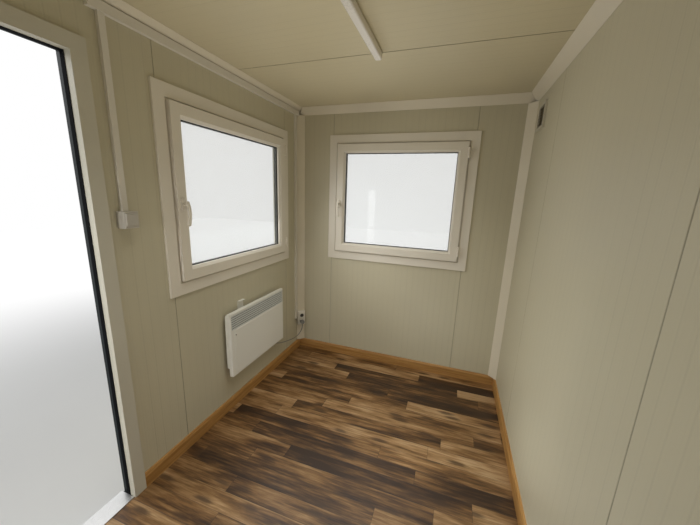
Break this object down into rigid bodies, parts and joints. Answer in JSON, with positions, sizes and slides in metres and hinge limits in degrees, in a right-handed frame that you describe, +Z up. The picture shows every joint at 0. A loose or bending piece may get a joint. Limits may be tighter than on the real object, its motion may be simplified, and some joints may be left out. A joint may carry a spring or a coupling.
{
  "type": "portable site cabin",
  "caption": "One-room portable cabin on a steel base and roof frame, with insulated panel walls, casement windows, an outside door and a wall convector inside.",
  "frame": {"origin": "middle of the underside of the base frame, at ground level", "axes": "+X along the cabin away from the windowed end, +Y from the door side to the plain long side, +Z up"},
  "size_m": [3.027, 2.8932, 2.523],
  "materials": {
    "frame_steel": "satin anthracite paint",
    "bare_steel": "galvanised grey, matte",
    "board": "raw wood board",
    "laminate": "brown multi-tone strip laminate, satin",
    "ceiling_panel": "finely lined grey-white coating, satin",
    "wall_panel": "finely lined grey-white coating, satin",
    "trim_white": "white coating, satin",
    "skirting_wood": "orange-brown wood, satin",
    "window_pvc": "white, smooth",
    "glazing": "clear sealed unit",
    "seal_rubber": "black",
    "threshold_metal": "brushed",
    "leaf_paint": "white paint, satin",
    "dark_handle": "dark grey, satin",
    "hinge_steel": "brushed",
    "electric_plastic": "white, satin",
    "flex_plastic": "grey, matte",
    "heater_paint": "white powder coat",
    "grille_grey": "grey, satin",
    "lamp_opal": "opal white",
    "vent_plastic": "dark louvres in a light rim"
  },
  "bodies": {
    "cabin": {"base_beams": "frame_steel", "floor_joists": "bare_steel", "floor_underside": "bare_steel", "floor_board": "board", "laminate_floor": "laminate", "corner_posts": "frame_steel", "roof_beams": "frame_steel", "ceiling_panels": "ceiling_panel", "roof_purlins": "bare_steel", "roof_deck": "bare_steel", "roof_gutter": "bare_steel", "front_wall_corner": "wall_panel", "front_wall_at_window": "wall_panel", "front_wall_pier": "wall_panel", "front_wall_right": "wall_panel", "left_wall_sides": "wall_panel", "left_wall_at_window": "wall_panel", "right_wall": "wall_panel", "back_wall": "wall_panel", "ceiling_trims": "trim_white", "corner_trims": "trim_white", "skirting_boards": "skirting_wood", "front_window_frame": "window_pvc", "front_window_sash": "window_pvc", "front_window_glass": "glazing", "front_window_casing": "window_pvc", "left_window_frame": "window_pvc", "left_window_sash": "window_pvc", "left_window_glass": "glazing", "left_window_casing": "window_pvc", "window_handles": "window_pvc", "window_hinges": "window_pvc", "window_outer_trims": "window_pvc", "door_casing": "trim_white", "door_seal": "seal_rubber", "door_frame": "frame_steel", "door_threshold": "threshold_metal", "door_hinge_pins": "hinge_steel", "cable_trunking": "electric_plastic", "light_switch": "electric_plastic", "socket_box": "electric_plastic", "heater_plug": "flex_plastic", "heater_cable": "flex_plastic", "heater_body": "heater_paint", "heater_grille": "grille_grey", "heater_bracket": "heater_paint", "lamp_body": "electric_plastic", "lamp_diffuser": "lamp_opal", "vent_grille": "vent_plastic"},
    "door": {"door_leaf": "leaf_paint", "door_handles": "dark_handle", "door_hinge_leaves": "hinge_steel"}
  },
  "joints": [
    {"name": "door_hinge", "type": "hinge", "parent": "cabin", "child": "door", "pos_m": [1.194, -1.015, 1], "axis": [0, 0, 1], "range_deg": [-100, 8]}
  ]
}
